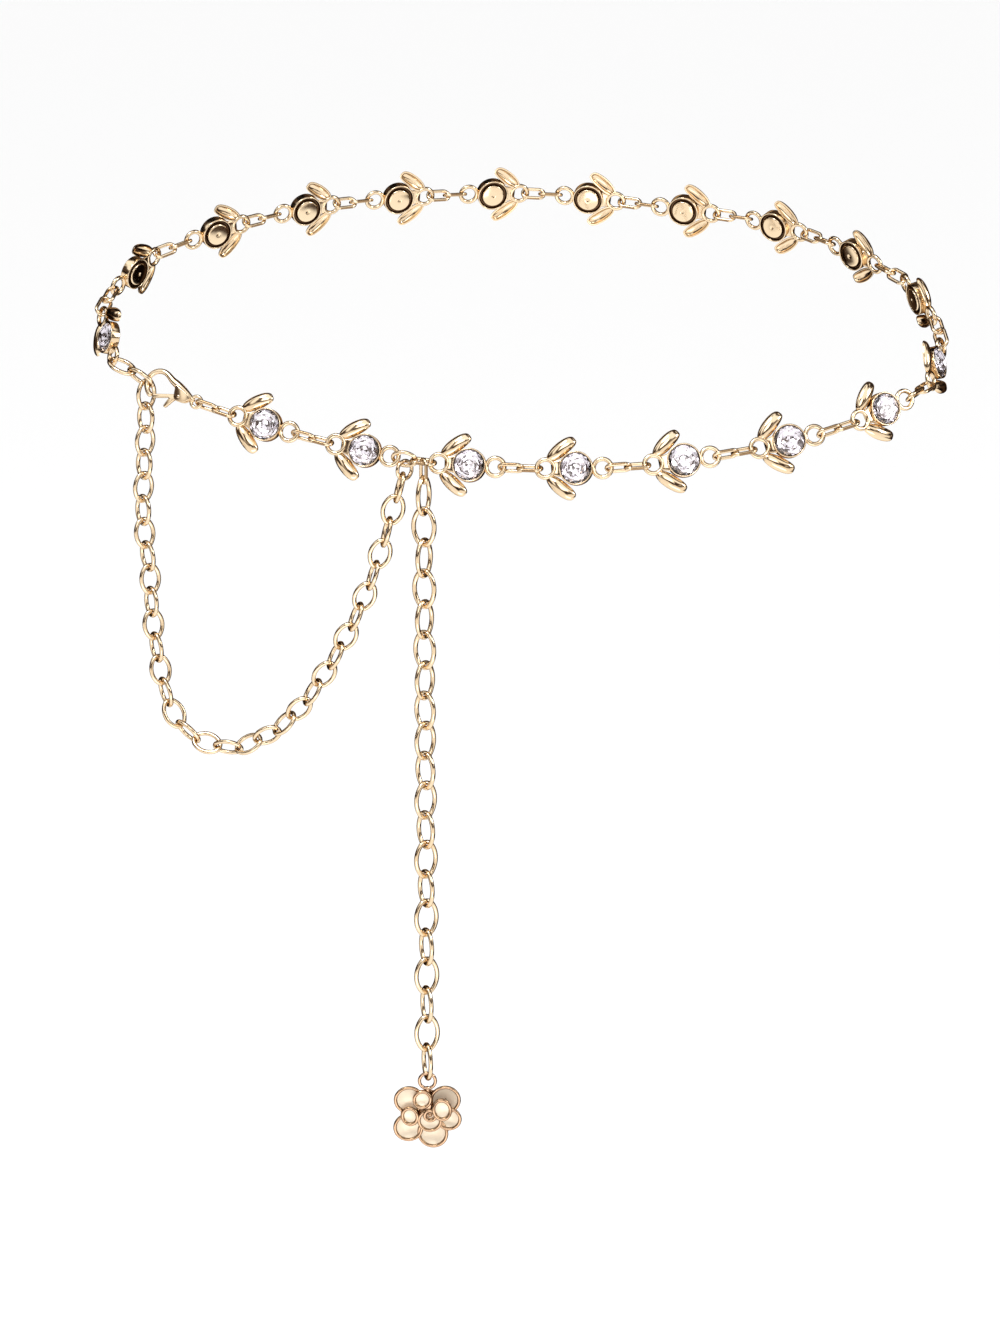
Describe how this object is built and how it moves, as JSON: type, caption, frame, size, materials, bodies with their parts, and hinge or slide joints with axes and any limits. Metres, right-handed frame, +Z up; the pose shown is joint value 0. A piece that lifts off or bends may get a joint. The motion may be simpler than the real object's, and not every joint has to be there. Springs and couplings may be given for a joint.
{
  "type": "waist chain",
  "caption": "Waist chain of flower motifs with round stones, closed by a lobster clasp on an extender chain that swags to a free end with a rose pendant.",
  "frame": {"origin": "middle of the waist loop, where the waist is", "axes": "+X along the front motifs from the clasp on, -Y out of the front, +Z up, with the free end hanging down"},
  "size_m": [0.2475, 0.1262, 0.2764],
  "materials": {
    "gold": "polished gold plate",
    "stone": "faceted, foil backed"
  },
  "bodies": {
    "chain": {"motif_01": "gold", "motif_02": "gold", "motif_03": "gold", "motif_04": "gold", "motif_05": "gold", "motif_06": "gold", "motif_07": "gold", "motif_08": "gold", "motif_09": "gold", "motif_10": "gold", "motif_11": "gold", "motif_12": "gold", "motif_13": "gold", "motif_14": "gold", "motif_15": "gold", "motif_16": "gold", "motif_17": "gold", "motif_18": "gold", "motif_19": "gold", "stone_01": "stone", "stone_02": "stone", "stone_03": "stone", "stone_04": "stone", "stone_05": "stone", "stone_06": "stone", "stone_07": "stone", "stone_08": "stone", "stone_09": "stone", "stone_10": "stone", "stone_11": "stone", "stone_12": "stone", "stone_13": "stone", "stone_14": "stone", "stone_15": "stone", "stone_16": "stone", "stone_17": "stone", "stone_18": "stone", "stone_19": "stone", "front_links": "gold", "side_links": "gold", "back_links": "gold", "extender_chain": "gold", "swag_chain": "gold", "jump_ring": "gold", "tail_chain": "gold", "clasp_body": "gold"},
    "lever": {"clasp_lever": "gold"},
    "rose": {"rose_pendant": "gold"}
  },
  "joints": [
    {"name": "lever_pivot", "type": "hinge", "parent": "chain", "child": "lever", "pos_m": [-0.09621, -0.03257, -0.01676], "axis": [0.298, 0.9079, -0.2949], "range_deg": [0, 25], "stiffness_Nm_per_rad": 0.02, "springref_deg": -20.05},
    {"name": "rose_swing", "type": "hinge", "parent": "chain", "child": "rose", "pos_m": [-0.02637, -0.0549, -0.21546], "axis": [0, 1, 0], "range_deg": [-60, 60]}
  ]
}
